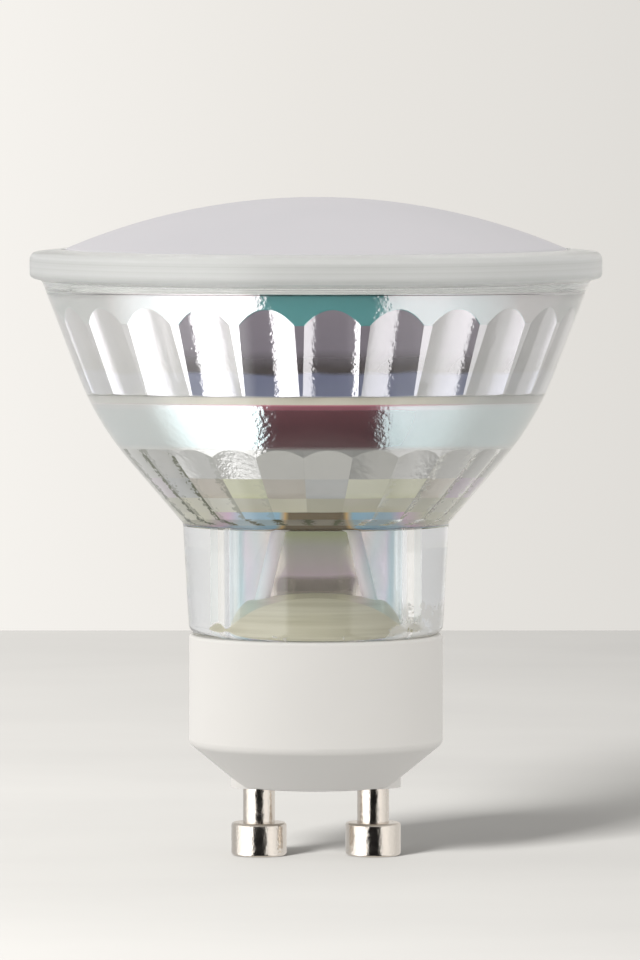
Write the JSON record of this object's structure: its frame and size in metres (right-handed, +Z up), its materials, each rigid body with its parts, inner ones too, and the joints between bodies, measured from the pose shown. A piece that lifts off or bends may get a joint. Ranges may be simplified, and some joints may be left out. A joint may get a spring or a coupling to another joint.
{
  "type": "light_bulb",
  "caption": "Two-pin twist-lock reflector spotlight bulb: fluted pressed-glass mirror cup, opal domed cover, clear glass neck showing its wires, white base and plated pins.",
  "frame": {"origin": "Centre of the box in X and Y, at the flat ends of the two pins", "axes": "+Z up along the lamp axis from the pins to the cover, +X along the line of the pins, -Y the side seen in the picture"},
  "size_m": [0.05, 0.05, 0.0576],
  "materials": {
    "glass": "clear, mirror film inside",
    "opal": "opal, satin",
    "silicone": "soft",
    "board_metal": "white solder mask",
    "wire_white": "insulated",
    "base_white": "matte",
    "pin_metal": "nickel plated",
    "cement": "cast",
    "circuit_board": "laminate",
    "package_black": "moulded",
    "can_metal": "sleeved",
    "ferrite": "wound",
    "resistor_body": "coated",
    "lead_metal": "tinned",
    "led_package": "phosphor pool"
  },
  "bodies": {
    "root": {"glass_body": "glass", "diffuser_cover": "opal", "cover_seal": "silicone", "led_board": "board_metal", "lead_wire_left": "wire_white", "lead_wire_right": "wire_white", "base_cap": "base_white", "contact_pin_left": "pin_metal", "contact_pin_right": "pin_metal", "base_cement": "cement", "driver_board": "circuit_board", "bridge_rectifier": "package_black", "driver_chip": "package_black", "smoothing_capacitor": "can_metal", "choke": "ferrite", "fuse_resistor": "resistor_body", "input_lead_left": "lead_metal", "input_lead_right": "lead_metal", "led_1": "led_package", "led_2": "led_package", "led_3": "led_package", "led_4": "led_package", "led_5": "led_package", "led_6": "led_package", "led_7": "led_package", "led_8": "led_package"}
  },
  "joints": []
}
